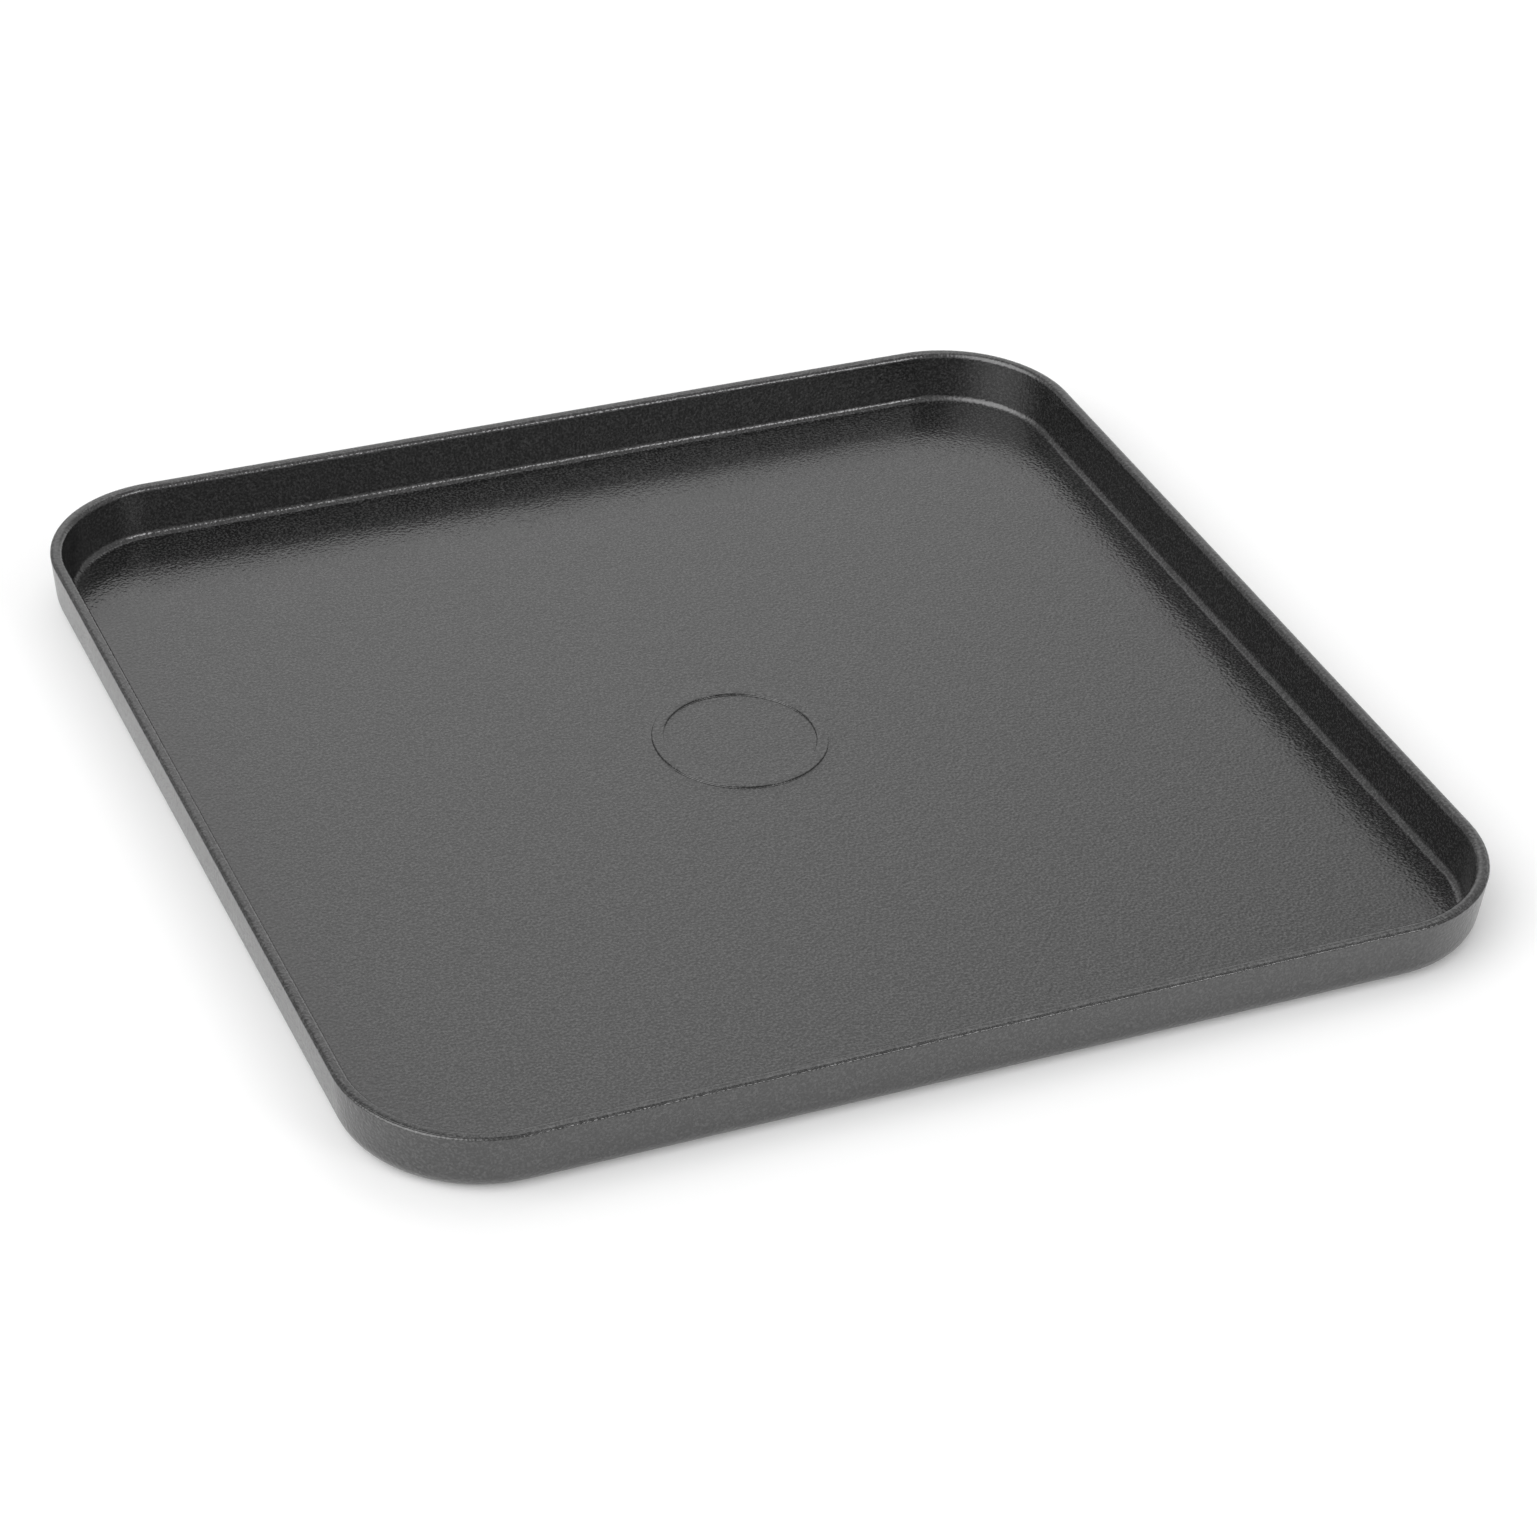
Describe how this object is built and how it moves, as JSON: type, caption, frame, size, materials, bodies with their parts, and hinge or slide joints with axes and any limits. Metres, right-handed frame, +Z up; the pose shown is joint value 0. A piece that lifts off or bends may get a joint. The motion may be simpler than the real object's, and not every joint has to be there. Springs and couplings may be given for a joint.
{
  "type": "camp griddle plate",
  "caption": "Square low-rimmed griddle plate with round corners: a drafted aluminium casting with a dark non-stick cooking face, coated outer walls and a flat bare underside.",
  "frame": {"origin": "the middle of the flat underside, which is the middle of the bounding box's bottom", "axes": "+Z up out of the cooking face; +X and +Y along the plate's straight sides, which are alike"},
  "size_m": [0.3, 0.3, 0.0173],
  "materials": {
    "cast_aluminium": "satin",
    "nonstick": "satin",
    "outer_coat": "satin"
  },
  "bodies": {
    "root": {"plate_casting": "cast_aluminium", "nonstick_coating": "nonstick", "outer_coating": "outer_coat"}
  },
  "joints": []
}
